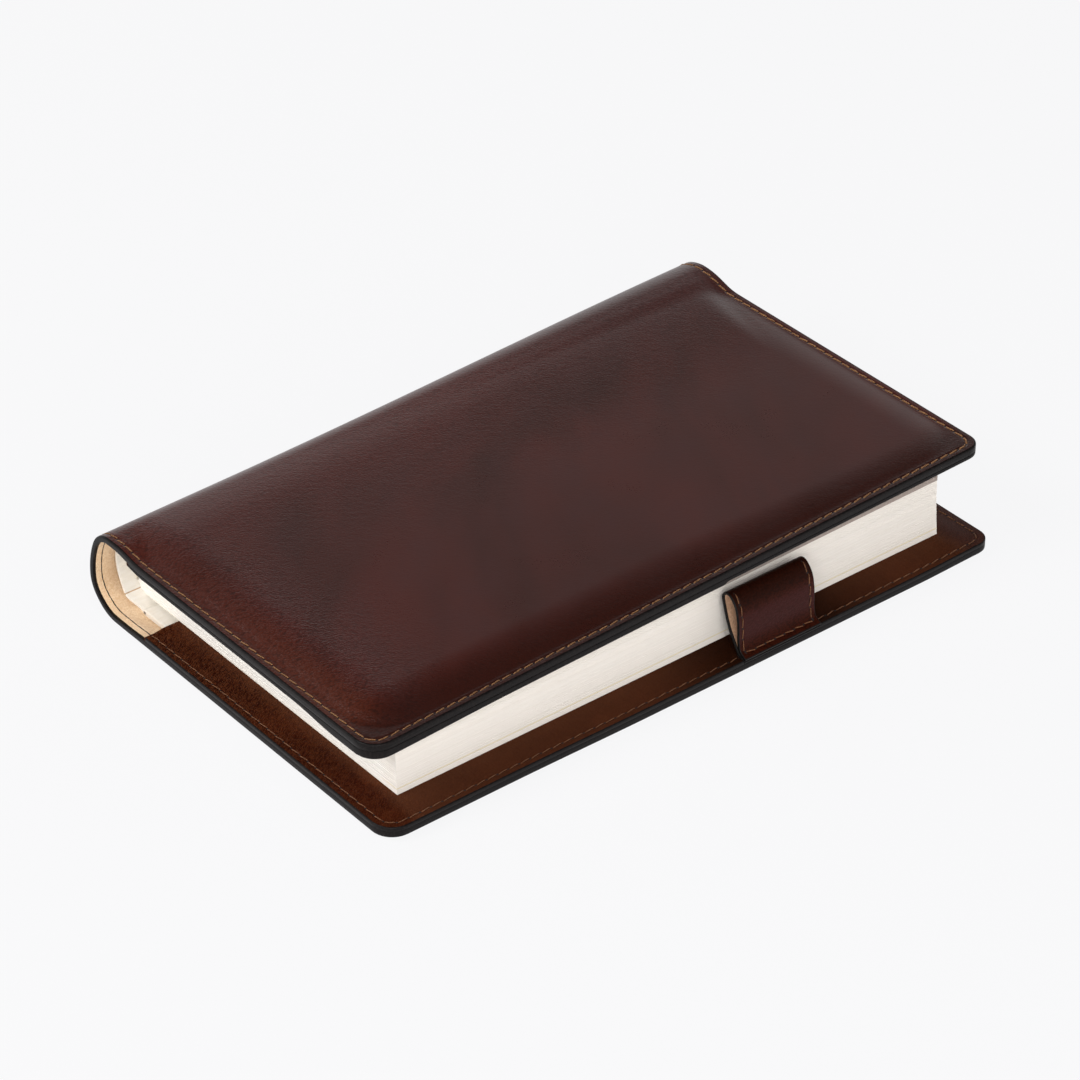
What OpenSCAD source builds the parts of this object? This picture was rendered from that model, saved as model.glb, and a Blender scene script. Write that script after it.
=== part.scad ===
// Refillable leather notebook: a stitched cover with two pockets, a bound refill and a pen loop.
// It lies closed on its back cover. X runs from the spine to the fore-edge, Y from tail to head.

/* [Cover] */
// Length of the cover from tail to head
cover_l = 228.4; // [180:0.2:280]
// Width of the back cover from the centre of the spine's lower curve to the fore-edge
back_w = 133; // [120:0.5:170]
// How far the front cover's fore-edge stands back from the back cover's
front_set = 6.8; // [5:0.1:9]
// Thickness of the outer leather
leather_t = 2.3; // [1.6:0.1:2.6]
// Radius of the corners at the fore-edge
corner_r = 5; // [3:0.5:8]
// Width of the flat sewn rim
rim_w = 3.8; // [3.4:0.1:4.2]
// Width of the rise from the rim to the crown
rise_w = 3.2; // [2.4:0.1:3.4]
// Height of the crown over the rim, pushed out by the board in the pocket
crown = 1.6; // [1.2:0.1:1.8]
// Width of the level strip between the spine roll and the ramp
roll_flat = 4; // [2:0.5:8]
// Width of the ramp from the spine roll down to the front rim
ramp_w = 13; // [8:0.5:18]
// Width of the rise beside the spine on the back cover
lead_w = 5.6; // [4:0.1:6]

/* [Pockets] */
// Thickness of the pocket leather
flap_t = 1.3; // [0.8:0.1:1.8]
// Distance of the back pocket's open edge from the outside of the spine
flap_open = 27.75; // [24:0.25:60]
// Distance of the creased line from the open edge
crease_in = 2; // [1.5:0.1:4]
// Width of the creased line
crease_w = 0.7; // [0.4:0.1:1]
// Depth of the creased line
crease_d = 0.3; // [0.1:0.05:0.4]
// Room on each face of a board in its pocket
pocket_gap = 0.05; // [0.02:0.01:0.2]
// Room at the fore-edge and the spine side of a board in its pocket
board_room = 1.4; // [0.4:0.1:1.8]
// Room at the tail and the head of a board in its pocket
board_end = 2.2; // [0.4:0.1:6]

/* [Spine] */
// Radius of the spine's lower curve
bulge_r = 12.5; // [11:0.1:14]
// Angle that the spine's tall wall turns through
wall_a = 22; // [14:0.5:26]
// Radius of the roll at the top of the spine
roll_r = 9.5; // [8:0.1:11]
// Angle of the back fold below the lower curve's middle
fold_a = 29; // [22:1:34]
// Gap at each fold of the cover
fold_gap = 0.3; // [0.2:0.05:0.6]

/* [Refill] */
// How far the boards stand out past the pages
square_w = 3; // [1:0.1:5]
// Thickness of one sewn section of leaves
section_t = 1.8; // [1.6:0.05:2.4]
// Thickness of an endpaper
endpaper_t = 0.3; // [0.2:0.05:0.5]
// Thickness of the refill's boards
board_t = 2; // [1.8:0.1:2.6]
// Radius of the boards' corners
board_r = 3; // [1:0.5:6]
// Thickness of the cloth lining on the pages' backs
lining_t = 0.7; // [0.3:0.1:0.8]
// Thickness of the refill's spine strip
strip_t = 1.2; // [0.8:0.1:1.4]
// Gap between the lining and the spine strip
hollow = 0.6; // [0.4:0.1:0.8]
// Gap between the spine strip and the leather at its nearest
strip_gap = 0.25; // [0.2:0.05:0.6]

/* [Pen loop] */
// Width of the pen loop along the fore-edge
loop_w = 28.6; // [16:0.2:40]
// Place of the loop's middle along the fore-edge
loop_y = 30; // [-60:1:60]
// Thickness of the loop's strap
loop_t = 1.2; // [0.9:0.1:1.3]
// Outer radius of the loop's round top
loop_r = 4.3; // [4.2:0.1:4.8]
// Gap between the loop and the pages that it leans on
loop_gap = 0.4; // [0.3:0.1:1]
// Height of the loop's round top over its sewn foot
loop_rise = 14.2; // [11:0.1:18]
// Depth of the loop's sewn foot
foot_w = 4.4; // [4:0.1:5.4]
// Distance of the foot's seam from the edge
foot_in = 1; // [0.8:0.1:1.2]

/* [Thread] */
// Distance of a seam from the edge
stitch_in = 2.4; // [2.2:0.1:2.7]
// Length from stitch to stitch
pitch = 3.85; // [3.6:0.05:6]
// Length of one stitch
stitch_l = 3.2; // [2:0.1:3.4]
// Diameter of the thread
thread_d = 0.7; // [0.4:0.05:0.8]
// Width of the groove that the stitches lie in
groove_w = 0.9; // [0.85:0.05:1.2]
// Room under a stitch in its groove
groove_gap = 0.05; // [0.02:0.01:0.1]
// How far a stitch stands out of its groove
proud = 0.1; // [0.05:0.05:0.2]

/* [Clearances] */
// Gap between the turned leaves and the rest of the pages, and under the front pocket
turn_gap = 0.3; // [0.2:0.05:0.6]
// Gap between the pen loop's foot and the pocket cut out for it
foot_gap = 0.2; // [0.1:0.05:0.4]

/* [Hidden] */
$fn = 96;
// Sections that stay on the back cover, and sections that turn with the front cover
still_n = 8;
turn_n = 4;
// Steps along a curved rise
rise_n = 6;
// How far a stitch's middle sinks below the leather's face, and the groove that it needs
sink = thread_d / 2 - proud;
groove_d = thread_d - proud + groove_gap;
// Spare length for cuts
over = 2;
deep = 6;

// Half lengths and the main lines along X
half_w = (back_w + bulge_r) / 2;
half_l = cover_l / 2;
x_low = bulge_r - half_w;
x_back = half_w;
x_front = half_w - front_set;
full_in = rim_w + rise_w;
x_back_flap = flap_open - half_w;
x_front_flap = x_back_flap - front_set;

// The stack along Z, from the table up
flap_rise = board_t + 2 * pocket_gap - crown;
z_back_rim = crown + leather_t;
z_back_flap = z_back_rim + flap_t;
z_pages = z_back_flap + flap_rise;
z_still = z_pages + endpaper_t + still_n * section_t;
z_turn = z_still + turn_gap;
z_top = z_turn + turn_n * section_t + endpaper_t;
z_front_flap = z_top + turn_gap + flap_rise;
z_front_rim = z_front_flap + flap_t + leather_t;
z_crown = z_front_rim + crown;

// The spine's curve: a lower curve, a tall wall and a top roll that meet smoothly
z_low = crown + bulge_r;
wall_r = roll_r + (z_crown - z_low - roll_r) / sin(wall_a);
x_wall = wall_r - half_w;
x_fold = x_wall - wall_r * cos(wall_a);
z_fold = z_low + wall_r * sin(wall_a);
x_roll = x_fold + roll_r * cos(wall_a);
z_roll = z_fold - roll_r * sin(wall_a);
x_ramp = x_roll + roll_flat;

// The refill, from the spine to the fore-edge, set by the room in the cover
board_w = min(back_w - lead_w, x_front - x_roll) - full_in - 2 * board_room;
board_l = cover_l - 2 * (full_in + board_end);
x_back_board = x_low + lead_w + board_room;
x_front_board = x_front - full_in - board_room - board_w;
x_strip = x_fold + leather_t * cos(wall_a) + strip_gap;
x_lining = x_strip + strip_t + hollow;
x_page = x_lining + lining_t;
x_leaf = x_back_board + board_w - square_w;
page_w = x_leaf - x_page;
page_l = board_l - 2 * square_w;

// The pen loop: its round top, the point where its two sides meet, and the spread of its sides
loop_x = x_leaf + loop_gap + loop_r;
loop_z = z_back_rim + 2 * loop_t + loop_rise;
loop_foot = [x_back - foot_w / 2, z_back_rim + loop_t];
loop_d = norm([loop_x, loop_z] - loop_foot);
loop_a = asin(loop_r / loop_d);
loop_to = atan2(loop_foot[1] - loop_z, loop_foot[0] - loop_x);
loop_top = z_back_rim + 2 * loop_t;
loop_seam_l = loop_d * cos(loop_a) - foot_w;

function swell(f) = f * f * (3 - 2 * f);
function falling(x, h) = [
    for (i = [rise_n : -1 : 0]) [x - rim_w - rise_w * i / rise_n, h * swell(i / rise_n)]
];
function rising(x, w, h) = [for (i = [0 : rise_n]) [x + w * i / rise_n, h * swell(i / rise_n)]];
function flipped(p) = [for (i = [len(p) - 1 : -1 : 0]) [-p[i][0], p[i][1]]];

// An XZ drawing run along Y, and a YZ drawing run along X
module along_y(l) {
    rotate([90, 0, 0])
        linear_extrude(l, center = true)
            children();
}

module along_x(x0, x1) {
    translate([x0, 0, 0])
        rotate([90, 0, 90])
            linear_extrude(x1 - x0)
                children();
}

// The outline of a panel, with round corners at the fore-edge
module outline(x0, x1) {
    translate([x0, -half_l])
        square([x1 - corner_r - x0, cover_l]);
    translate([x0, corner_r - half_l])
        square([x1 - x0, cover_l - 2 * corner_r]);
    for (s = [-1, 1])
        translate([x1 - corner_r, s * (half_l - corner_r)])
            circle(corner_r);
}

// Everything below a padded face: the rim at 0, the crown at h, a rise of width lead at the spine
module padded(x0, x1, h, lead, ramp) {
    start = lead > 0 ? concat([[x0 - over, 0]], rising(x0, lead, h)) : [[x0 - over, h]];
    intersection() {
        along_y(cover_l + 2 * over)
            polygon(concat(
                [[x0 - over, -deep]], start, falling(x1, h), [[x1 + over, 0], [x1 + over, -deep]]
            ));
        along_x(x0 - over, x1 + over)
            polygon(concat(
                [[-half_l - over, -deep], [-half_l - over, 0]], flipped(falling(half_l, h)),
                falling(half_l, h), [[half_l + over, 0], [half_l + over, -deep]]
            ));
    }
    if (ramp)
        along_y(cover_l + 2 * over)
            polygon([
                [x0 - over, -deep], [x0 - over, h], [x_ramp, h],
                [x_ramp + ramp_w, 0], [x_ramp + ramp_w, -deep]
            ]);
}

// A sheet of thickness t under a padded face
module sheet(x0, x1, h, t, lead = 0, ramp = false) {
    intersection() {
        translate([0, 0, -deep])
            linear_extrude(2 * deep)
                outline(x0, x1);
        difference() {
            padded(x0, x1, h, lead, ramp);
            translate([0, 0, -t])
                padded(x0, x1, h, lead, ramp);
        }
    }
}

// The three rows of a seam, as strips of the groove's width
module seam_strips(x0, x1) {
    for (s = [-1, 1])
        translate([x0 - over, s * (half_l - stitch_in) - groove_w / 2, -deep])
            cube([x1 - stitch_in - x0 + over + groove_w / 2, groove_w, 2 * deep]);
    translate([x1 - stitch_in - groove_w / 2, stitch_in - half_l, -deep])
        cube([groove_w, cover_l - 2 * stitch_in, 2 * deep]);
}

module grooved_sheet(x0, x1, h, t, lead = 0, ramp = false) {
    difference() {
        sheet(x0, x1, h, t, lead, ramp);
        intersection() {
            difference() {
                padded(x0, x1, h, lead, ramp);
                translate([0, 0, -groove_d])
                    padded(x0, x1, h, lead, ramp);
            }
            seam_strips(x0, x1);
        }
    }
}

// One stitch along X, and rows of them
module stitch() {
    translate([-stitch_l / 2, 0, -sink])
        rotate([0, 90, 0])
            cylinder(d = thread_d, h = stitch_l, $fn = 24);
}

module row_x(x0, x1, y) {
    n = floor((x1 - x0) / pitch);
    for (i = [0 : n - 1])
        translate([x1 - pitch * (i + 0.5), y, 0])
            stitch();
}

module row_y(x, y0, y1) {
    n = floor((y1 - y0) / pitch);
    step = (y1 - y0) / n;
    for (i = [0 : n - 1])
        translate([x, y0 + step * (i + 0.5), 0])
            rotate([0, 0, 90])
                stitch();
}

module seam(x0, x1) {
    for (s = [-1, 1])
        row_x(x0, x1 - stitch_in, s * (half_l - stitch_in));
    row_y(x1 - stitch_in, stitch_in - half_l, half_l - stitch_in);
}

// Stitches round a curve of the spine, at both ends of the cover
module curved_rows(x, z, r, a0, a1) {
    step = pitch / r * 180 / PI;
    n = floor((a1 - a0) / step);
    spare = (a1 - a0 - n * step) / 2;
    for (i = [0 : n - 1])
        for (s = [-1, 1])
            translate([x, s * (half_l - stitch_in), z])
                rotate([0, -(a0 + spare + step * (i + 0.5)), 0])
                    translate([r - sink, 0, -stitch_l / 2])
                        cylinder(d = thread_d, h = stitch_l, $fn = 24);
}

// The space inside the spine's curve, d below the outer face
module spine_space(d) {
    translate([x_low, z_low])
        circle(bulge_r - d);
    translate([x_roll, z_roll])
        circle(roll_r - d);
    intersection() {
        translate([x_wall, z_low])
            circle(wall_r - d, $fn = 240);
        polygon([
            [x_wall, z_low], [-half_w - over, z_low],
            [x_wall - (wall_r + over) / cos(wall_a), z_low + (wall_r + over) * tan(wall_a)]
        ]);
    }
    translate([x_low, crown + d])
        square([4 * over, z_low - crown - d]);
    translate([x_roll, z_low - over])
        square([4 * over, z_crown - d - z_low + over]);
}

module spine_shell(d0, d1) {
    difference() {
        spine_space(d0);
        spine_space(d1);
    }
}

// The parts of the drawing plane before the back fold, between the folds and after the front fold
module fold_line(p, a, side) {
    translate(p)
        rotate(a)
            translate([-4 * bulge_r, side > 0 ? fold_gap / 2 : -8 * bulge_r - fold_gap / 2])
                square([8 * bulge_r, 8 * bulge_r]);
}

module below_back_fold() {
    fold_line([x_low, z_low], fold_a, -1);
}

module above_back_fold() {
    fold_line([x_low, z_low], fold_a, 1);
}

module below_front_fold() {
    fold_line([x_fold, z_fold], -wall_a, -1);
}

module above_front_fold() {
    fold_line([x_fold, z_fold], -wall_a, 1);
}

module back_lip(d0, d1) {
    intersection() {
        spine_shell(d0, d1);
        below_back_fold();
        translate([x_low - 2 * bulge_r, 0])
            square([2 * bulge_r + over, z_low]);
    }
}

module spine_wall(d0, d1) {
    intersection() {
        spine_shell(d0, d1);
        above_back_fold();
        below_front_fold();
        translate([-half_w - over, 0])
            square([x_roll + half_w, z_crown]);
    }
}

module front_roll(d0, d1) {
    intersection() {
        spine_shell(d0, d1);
        above_front_fold();
        translate([x_roll - 2 * bulge_r, z_low])
            square([2 * bulge_r + over, z_crown]);
    }
}

// The seam's groove round a curve of the spine, at both ends
module curved_groove() {
    for (s = [-1, 1])
        translate([0, s * (half_l - stitch_in), 0])
            along_y(groove_w)
                children();
}

// Back cover
module back_leather() {
    color("#43231c")
        difference() {
            union() {
                translate([0, 0, crown])
                    mirror([0, 0, 1])
                        grooved_sheet(x_low, x_back, crown, leather_t, lead_w);
                along_y(cover_l)
                    back_lip(0, leather_t);
            }
            curved_groove()
                back_lip(0, groove_d);
        }
}

module flap(x0, x1) {
    difference() {
        grooved_sheet(x0, x1, flap_rise, flap_t);
        intersection() {
            translate([x0 + crease_in, -half_l - over, -deep])
                cube([crease_w, cover_l + 2 * over, 2 * deep]);
            difference() {
                padded(x0, x1, flap_rise, 0, false);
                translate([0, 0, -crease_d])
                    padded(x0, x1, flap_rise, 0, false);
            }
        }
    }
}

module back_flap() {
    color("#5a3018")
        difference() {
            translate([0, 0, z_back_flap])
                flap(x_back_flap, x_back);
            translate([x_back - foot_w - foot_gap, loop_y - loop_w / 2 - foot_gap, z_back_rim - over])
                cube([foot_w + foot_gap + over, loop_w + 2 * foot_gap, 2 * deep]);
        }
}

module back_seam() {
    color("#a06a35") {
        translate([0, 0, crown])
            mirror([0, 0, 1])
                seam(x_low, x_back);
        curved_rows(x_low, z_low, bulge_r, 180 + fold_a, 270);
        translate([0, 0, z_back_flap]) {
            for (s = [-1, 1])
                row_x(x_back_flap, x_back - stitch_in, s * (half_l - stitch_in));
            row_y(x_back - stitch_in, stitch_in - half_l, loop_y - loop_w / 2 - foot_gap);
            row_y(x_back - stitch_in, loop_y + loop_w / 2 + foot_gap, half_l - stitch_in);
        }
    }
}

// The pen loop's round top and the two straight sides that meet at its foot, r from its middle
module loop_drop(r, l) {
    w = 0.99 * r * cos(loop_a);
    translate([0, loop_y, 0])
        along_y(l)
            translate([loop_x, loop_z])
                circle(r);
    translate([0, loop_y, 0])
        along_y(l)
            translate([loop_x, loop_z])
                rotate(loop_to)
                    polygon([
                        [0, w], [r * sin(loop_a), w], [r / sin(loop_a), 0], [r * sin(loop_a), -w], [0, -w]
                    ]);
}

// Places a piece on the loop's outer side, with X down the strap and Z out of it
module on_loop_side(y) {
    translate([loop_x, y, loop_z])
        rotate([0, loop_a - loop_to, 0])
            translate([0, 0, loop_r])
                children();
}

module pen_loop() {
    color("#4b271d")
        difference() {
            union() {
                loop_drop(loop_r, loop_w);
                translate([x_back - foot_w, loop_y - loop_w / 2, z_back_rim])
                    cube([foot_w, loop_w, 2 * loop_t]);
            }
            loop_drop(loop_r - loop_t, loop_w + 2 * over);
            translate([x_back - foot_in - groove_w / 2, loop_y - loop_w / 2 - over, loop_top - groove_d])
                cube([groove_w, loop_w + 2 * over, deep]);
            for (s = [-1, 1])
                on_loop_side(loop_y + s * (loop_w / 2 - stitch_in))
                    translate([0, -groove_w / 2, -groove_d])
                        cube([loop_seam_l, groove_w, deep]);
        }
}

module pen_loop_seam() {
    color("#a06a35") {
        translate([0, 0, loop_top])
            row_y(x_back - foot_in, loop_y - loop_w / 2, loop_y + loop_w / 2);
        for (s = [-1, 1])
            on_loop_side(loop_y + s * (loop_w / 2 - stitch_in))
                row_x(0, loop_seam_l, 0);
    }
}

// Spine
module spine_leather() {
    color("#4a271f")
        difference() {
            along_y(cover_l)
                spine_wall(0, leather_t);
            curved_groove()
                spine_wall(0, groove_d);
        }
}

module spine_strip() {
    z0 = z_low - bulge_r * sin(fold_a) + fold_gap;
    color("#e9dfca")
        translate([x_strip, -board_l / 2, z0])
            cube([strip_t, board_l, z_fold - fold_gap - strip_t - z0]);
}

module spine_seam() {
    color("#a06a35") {
        curved_rows(x_low, z_low, bulge_r, 180, 180 + fold_a);
        curved_rows(x_wall, z_low, wall_r, 180 - wall_a, 180);
    }
}

// Front cover
module front_leather() {
    color("#4f2b25")
        difference() {
            union() {
                translate([0, 0, z_front_rim])
                    grooved_sheet(x_roll, x_front, crown, leather_t, 0, true);
                along_y(cover_l)
                    front_roll(0, leather_t);
            }
            curved_groove()
                front_roll(0, groove_d);
        }
}

module front_flap() {
    color("#5a3018")
        translate([0, 0, z_front_flap])
            mirror([0, 0, 1])
                flap(x_front_flap, x_front);
}

module front_seam() {
    color("#a06a35") {
        translate([0, 0, z_front_rim])
            seam(x_ramp + ramp_w, x_front);
        for (s = [-1, 1])
            translate([x_ramp + ramp_w, s * (half_l - stitch_in), z_front_rim])
                rotate([0, atan2(crown, ramp_w), 0])
                    row_x(-norm([crown, ramp_w]), 0, 0);
        curved_rows(x_roll, z_roll, roll_r, 90, 180 - wall_a);
        translate([0, 0, z_front_flap])
            mirror([0, 0, 1])
                seam(x_front_flap, x_front);
    }
}

// Refill
module board(x0) {
    linear_extrude(board_t) {
        translate([x0, -board_l / 2])
            square([board_w - board_r, board_l]);
        translate([x0, board_r - board_l / 2])
            square([board_w, board_l - 2 * board_r]);
        for (s = [-1, 1])
            translate([x0 + board_w - board_r, s * (board_l / 2 - board_r)])
                circle(board_r);
    }
}

module back_board() {
    color("#ece3d0")
        translate([0, 0, leather_t + pocket_gap])
            board(x_back_board);
}

module front_board() {
    color("#ece3d0")
        translate([0, 0, z_crown - leather_t - pocket_gap - board_t])
            board(x_front_board);
}

module leaf(z, t) {
    translate([x_page, -page_l / 2, z])
        cube([page_w, page_l, t]);
}

// A section of folded leaves, with its round fold at the spine
module section(z) {
    color("#f4efe3") {
        translate([x_page + section_t / 2, -page_l / 2, z])
            cube([page_w - section_t / 2, page_l, section_t]);
        translate([x_page + section_t / 2, page_l / 2, z + section_t / 2])
            rotate([90, 0, 0])
                cylinder(d = section_t, h = page_l);
    }
}

module still_section(i) {
    section(z_pages + endpaper_t + i * section_t);
}

module turned_section(i) {
    section(z_turn + i * section_t);
}

module back_endpaper() {
    color("#e6dcc6")
        leaf(z_pages, endpaper_t);
}

module front_endpaper() {
    color("#e6dcc6")
        leaf(z_top - endpaper_t, endpaper_t);
}

module spine_lining() {
    color("#d8cfbb")
        translate([x_lining, -page_l / 2, z_pages])
            cube([lining_t, page_l, z_still - z_pages]);
}

back_leather();
back_flap();
back_seam();
pen_loop();
pen_loop_seam();
back_board();
back_endpaper();
still_section(0);  // section_01
still_section(1);  // section_02
still_section(2);  // section_03
still_section(3);  // section_04
still_section(4);  // section_05
still_section(5);  // section_06
still_section(6);  // section_07
still_section(7);  // section_08
spine_lining();
spine_leather();
spine_strip();
spine_seam();
front_leather();
front_flap();
front_seam();
front_board();
turned_section(0);  // section_09
turned_section(1);  // section_10
turned_section(2);  // section_11
turned_section(3);  // section_12
front_endpaper();
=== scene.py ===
import math

import bmesh
import bpy
import numpy as np
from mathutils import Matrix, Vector


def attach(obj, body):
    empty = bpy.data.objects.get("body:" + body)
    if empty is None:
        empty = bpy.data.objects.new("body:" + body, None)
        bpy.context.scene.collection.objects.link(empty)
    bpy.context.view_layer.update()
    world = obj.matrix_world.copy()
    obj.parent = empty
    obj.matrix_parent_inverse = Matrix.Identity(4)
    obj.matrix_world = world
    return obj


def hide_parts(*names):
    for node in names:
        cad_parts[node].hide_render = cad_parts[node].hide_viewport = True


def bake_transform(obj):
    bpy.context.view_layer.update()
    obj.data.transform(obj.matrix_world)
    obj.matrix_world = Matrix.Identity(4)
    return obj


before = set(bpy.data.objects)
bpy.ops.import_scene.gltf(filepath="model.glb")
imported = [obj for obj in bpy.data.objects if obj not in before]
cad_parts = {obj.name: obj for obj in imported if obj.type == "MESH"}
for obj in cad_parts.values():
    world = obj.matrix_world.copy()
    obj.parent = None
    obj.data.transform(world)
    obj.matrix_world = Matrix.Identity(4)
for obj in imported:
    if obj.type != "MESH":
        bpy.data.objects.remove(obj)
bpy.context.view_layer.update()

scene = bpy.context.scene
scene.view_settings.view_transform = "Standard"
print("frame loaded:", len(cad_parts), "nodes")

mm = 0.001  # lengths below are in millimetres


# Shader maths: a socket that can be added, multiplied and fed to other nodes

class Wire:
    def __init__(self, tree, socket=None):
        self.tree = tree
        self.socket = socket

    def node(self, kind, settings=None, sockets=None, out=0):
        made = self.tree.nodes.new("ShaderNode" + kind)
        for key, value in (settings or {}).items():
            setattr(made, key, value)
        for key, value in (sockets or {}).items():
            self.plug(made.inputs[key], value)
        return Wire(self.tree, made.outputs[out])

    def plug(self, target, value):
        if isinstance(value, Wire):
            self.tree.links.new(value.socket, target)
        else:
            target.default_value = value

    def maths(self, operation, a, b=0.0):
        return self.node("Math", {"operation": operation}, {0: a, 1: b})

    __add__ = __radd__ = lambda self, other: self.maths("ADD", self, other)
    __mul__ = __rmul__ = lambda self, other: self.maths("MULTIPLY", self, other)
    __sub__ = lambda self, other: self.maths("SUBTRACT", self, other)
    __rsub__ = lambda self, other: self.maths("SUBTRACT", other, self)
    __pow__ = lambda self, other: self.maths("POWER", self, other)
    __abs__ = lambda self: self.maths("ABSOLUTE", self)
    over = lambda self, other: self.maths("MAXIMUM", self, other)  # the larger of two values

    def part(self, axis):  # x, y or z of a vector, as 0, 1 or 2
        return self.node("SeparateXYZ", {}, {0: self}, out=axis)

    def turned(self, degrees):
        sockets = {"Vector": self, "Angle": math.radians(degrees)}
        return self.node("VectorRotate", {"rotation_type": "Z_AXIS"}, sockets)

    def step(self, low, high):  # 0 below low, 1 above high, smooth between
        return self.node("MapRange", {"interpolation_type": "SMOOTHSTEP"}, {0: self, 1: low, 2: high})

    def mix(self, first, second):  # a colour between two, by this value
        return self.node("Mix", {"data_type": "RGBA"}, {0: self, 6: first, 7: second}, out=2)

    def scaled(self, x, y, z=1.0):
        return self.node("VectorMath", {"operation": "MULTIPLY"}, {0: self, 1: (x, y, z)})

    def noise(self, scale, detail=3.0, rough=0.55, warp=0.0):
        values = {"Vector": self, "Scale": scale, "Detail": detail, "Roughness": rough, "Distortion": warp}
        return self.node("TexNoise", {}, values)

    def cells(self, scale, feature="F1"):
        return self.node("TexVoronoi", {"feature": feature}, {"Vector": self, "Scale": scale})


def rgb(r, g, b):  # a colour as seen on screen, 0 to 255, made linear
    def linear(c):
        c = c / 255
        return c / 12.92 if c < 0.04045 else ((c + 0.055) / 1.055) ** 2.4
    return (linear(r), linear(g), linear(b), 1.0)


def newFinish(name, specular=0.5, settings=None):  # the piece's own flat coordinates, for a new material
    finish = bpy.data.materials.new(name)
    finish.use_nodes = True
    inputs = finish.node_tree.nodes["Principled BSDF"].inputs
    for key, value in {"Specular IOR Level": specular, **(settings or {})}.items():
        inputs[key].default_value = value
    return finish, Wire(finish.node_tree).node("Attribute", {"attribute_name": "flat"}, out=1)


def dressed(finish, flat, colour, rough=None, height=None, depth=0.0):  # the values that vary over a piece
    inputs = finish.node_tree.nodes["Principled BSDF"].inputs
    flat.plug(inputs["Base Color"], colour)
    if rough is not None:
        flat.plug(inputs["Roughness"], rough)
    if height is not None:
        bump = {"Height": height, "Distance": depth, "Strength": 1.0}
        flat.plug(inputs["Normal"], flat.node("Bump", {}, bump))
    return finish


leatherLook = {
    "deep": rgb(54, 19, 12), "warm": rgb(73, 27, 20), "plum": rgb(62, 25, 22),
    # the spine roll's colours are a painted highlight
    "roll": rgb(80, 31, 25), "headRollSheen": rgb(72, 40, 38), "rollSheenTo": (178, 214), "rollSheenHead": (0, 95),
    # painted light on the tail slope, painted shade on the fore slope
    "litTailSlope": rgb(74, 28, 12), "shadedForeSlope": rgb(46, 16, 9), "pore": rgb(24, 9, 6),
    "rough": 0.31, "specular": 0.46, "cells": 1.7, "depth": 0.00007, "lean": -50,
    "tail": (-66, -108), "spine": (180, 250), "fore": (288, 299),
    "tailLight": (-98, -107), "tailFore": (180, 290),
}


def outerLeather():
    look = leatherLook
    finish, flat = newFinish("smooth_leather", look["specular"])
    girth, along = abs(flat.part(0)), flat.part(1)  # round the spine, and from tail to head
    tail = along.step(*look["tail"])
    fore = girth.step(*look["fore"])
    spine = 1 - girth.step(*look["spine"])
    coarse = 0.16 + 0.84 * tail.over(spine * 0.62).over(fore * 0.45)
    leaning = flat.turned(look["lean"])
    patina = leaning.scaled(1.0, 0.45).noise(0.022, 3.0, 0.55, 0.5)
    blotch = leaning.scaled(1.0, 0.6).noise(0.07, 3.0, 0.6)
    pebbles = leaning.scaled(0.62, 1.3).cells(look["cells"])
    fine = leaning.scaled(0.7, 1.2).noise(2.4, 2.0, 0.6)
    creases = leaning.scaled(0.35, 1.0).noise(0.6, 4.0, 0.6, 0.3)
    colour = patina.step(0.32, 0.7).mix(look["deep"], look["warm"])
    colour = (blotch.step(0.4, 0.72) * 0.5).mix(colour, look["plum"])
    # painted highlight: a lighter, pinker colour along the spine roll, greyer towards the head, stands for
    # its sheen
    roll = along.step(*look["rollSheenHead"]).mix(look["roll"], look["headRollSheen"])
    colour = ((1 - girth.step(*look["rollSheenTo"])) * 0.8).mix(colour, roll)
    # painted light: the tail slope is lighter and more orange, as if lit from the tail side
    tailLight = along.step(*look["tailLight"]) * (0.3 + 0.7 * girth.step(*look["tailFore"]))
    colour = tailLight.mix(colour, look["litTailSlope"])
    # painted shade: darker along the fore slope
    colour = (fore * 0.85).mix(colour, look["shadedForeSlope"])
    colour = (pebbles.step(0.5, 0.85) * coarse * 0.5).mix(colour, look["pore"])
    rough = look["rough"] + (fine - 0.5) * 0.12 + (blotch - 0.5) * 0.12
    height = coarse * (fine * 0.5 - pebbles.step(0.05, 0.8) * 0.6 + creases.step(0.36, 0.68) * 0.35)
    return dressed(finish, flat, colour, rough, height, look["depth"])


strapLook = {
    # the middle colour is a painted sheen, the fold colour a painted shade
    "foot": rgb(55, 20, 10), "middle": rgb(61, 31, 30), "fold": rgb(40, 14, 6), "pore": rgb(24, 8, 4),
    "specular": 0.05, "rough": 0.36, "depth": 0.0001,
    "sheenRises": (3.5, 7.5), "sheenFalls": (12.5, 16.5), "folds": (14.0, 18.0),
}


def strapLeather():
    look = strapLook
    finish, flat = newFinish("strap_leather", look["specular"])
    up = flat.part(0)  # from the sewn foot over the fold
    pebbles = flat.scaled(1.0, 0.7).cells(1.9)
    fine = flat.scaled(1.0, 0.6).noise(1.6, 3.0, 0.65)
    # painted sheen: a lighter, purplish band across the middle of the loop
    middle = up.step(*look["sheenRises"]) * (1 - up.step(*look["sheenFalls"]))
    colour = (middle * (0.75 + 0.5 * (fine - 0.5))).mix(look["foot"], look["middle"])
    # painted shade: darker over the loop's top fold
    colour = up.step(*look["folds"]).mix(colour, look["fold"])
    colour = (pebbles.step(0.4, 0.8) * 0.55 * (1 - middle * 0.6)).mix(colour, look["pore"])
    height = fine * 0.6 - pebbles.step(0.1, 0.8) * 0.4
    return dressed(finish, flat, colour, look["rough"] + (fine - 0.5) * 0.2, height, look["depth"])


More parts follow.
